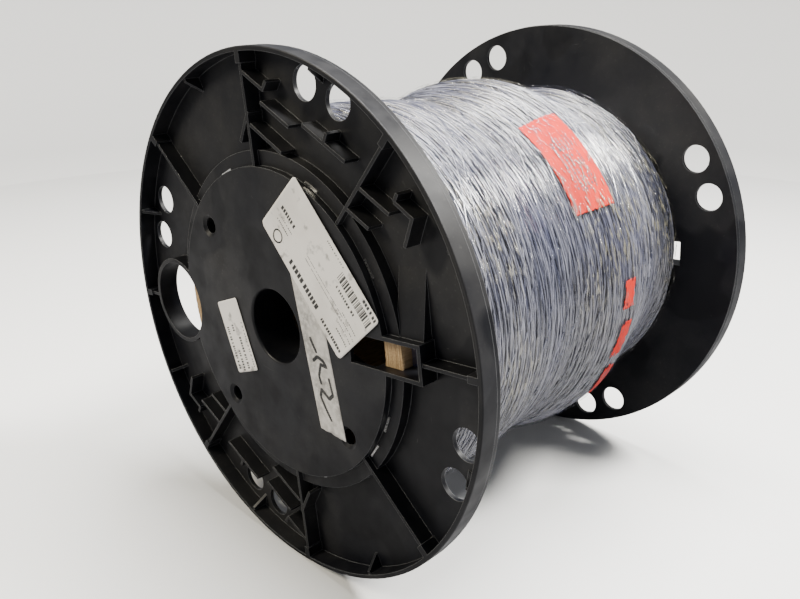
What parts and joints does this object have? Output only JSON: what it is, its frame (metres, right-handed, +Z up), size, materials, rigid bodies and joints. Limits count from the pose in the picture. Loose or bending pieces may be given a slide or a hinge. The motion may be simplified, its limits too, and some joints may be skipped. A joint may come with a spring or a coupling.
{
  "type": "cable spool",
  "caption": "Flanged cable spool: two ribbed moulded flanges stapled to a fibre core tube, wound with fine cable under stretch film.",
  "frame": {"origin": "on the arbor axis, midway between the two flanges' outer lips", "axes": "+X along the arbor axis towards the flange without labels, +Z up as the spool lies on its rims, +Y completes the frame"},
  "size_m": [0.3115, 0.3556, 0.3556],
  "materials": {
    "flange_plastic": "black moulded polystyrene, satin, dusty and scuffed",
    "fibreboard": "spirally wound tan paper fibre, matt, rough sawn ends",
    "staple_wire": "bright galvanised wire",
    "cable_jacket": "silver-grey cable jacket, glossy",
    "film": "clear stretch film, wrinkled and glossy",
    "red_label": "orange-red printed label",
    "paper": "white thermal paper label, matt",
    "tape": "creped masking tape, matt"
  },
  "bodies": {
    "root": {"flange_near": "flange_plastic", "flange_far": "flange_plastic", "core_tube": "fibreboard", "staples_near": "staple_wire", "staples_far": "staple_wire", "cable_winding": "cable_jacket", "stretch_film": "film", "coil_label": "red_label", "coil_tag": "red_label", "hub_label": "paper", "stock_label": "paper", "masking_tape": "tape"}
  },
  "joints": []
}
